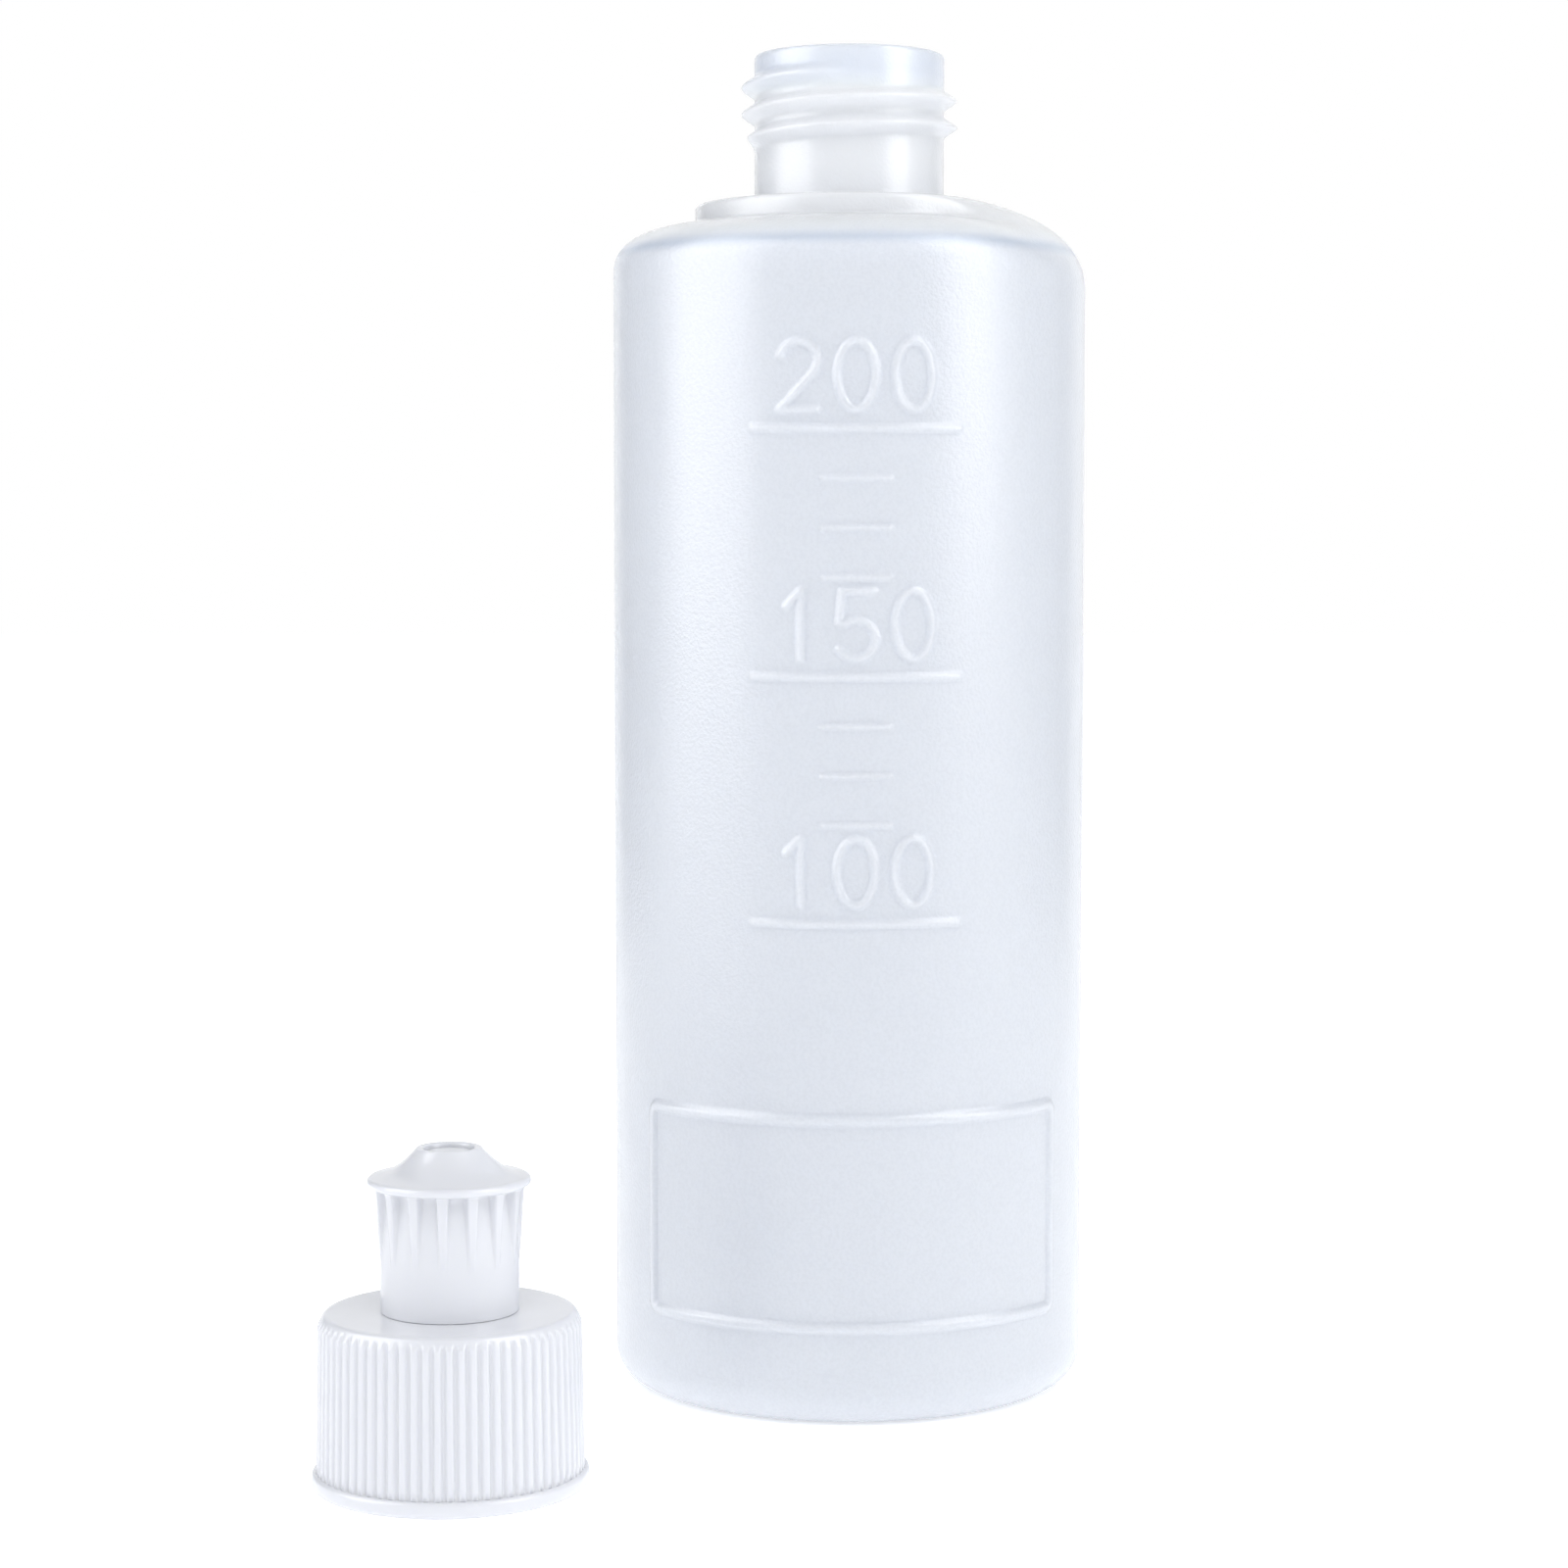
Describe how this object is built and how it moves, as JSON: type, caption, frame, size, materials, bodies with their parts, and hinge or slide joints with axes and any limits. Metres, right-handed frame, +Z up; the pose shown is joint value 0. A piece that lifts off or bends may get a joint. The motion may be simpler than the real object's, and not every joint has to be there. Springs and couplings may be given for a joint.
{
  "type": "peri bottle",
  "caption": "Squeeze bottle with a translucent cylindrical body and threaded neck, standing open beside its ribbed screw cap with a push-pull spout.",
  "frame": {"origin": "on the floor, under the middle of the box round the bottle and the cap that stands in front of it", "axes": "+Z up along the bottle, from its standing ring to its mouth; the framed name panel faces -Y; the cap stands towards -X and -Y of the bottle"},
  "size_m": [0.0798, 0.0854, 0.1461],
  "materials": {
    "natural_ldpe": "milky translucent squeezable polyethylene with a fine pebbled surface",
    "white_polypropylene": "smooth glossy opaque white"
  },
  "bodies": {
    "bottle_and_cap": {"bottle": "natural_ldpe", "screw_cap": "white_polypropylene"},
    "spout": {"pull_spout": "white_polypropylene"}
  },
  "joints": [
    {"name": "spout_slide", "type": "slide", "parent": "bottle_and_cap", "child": "spout", "axis": [0, 0, 1], "range_m": [0, 0.005]}
  ]
}
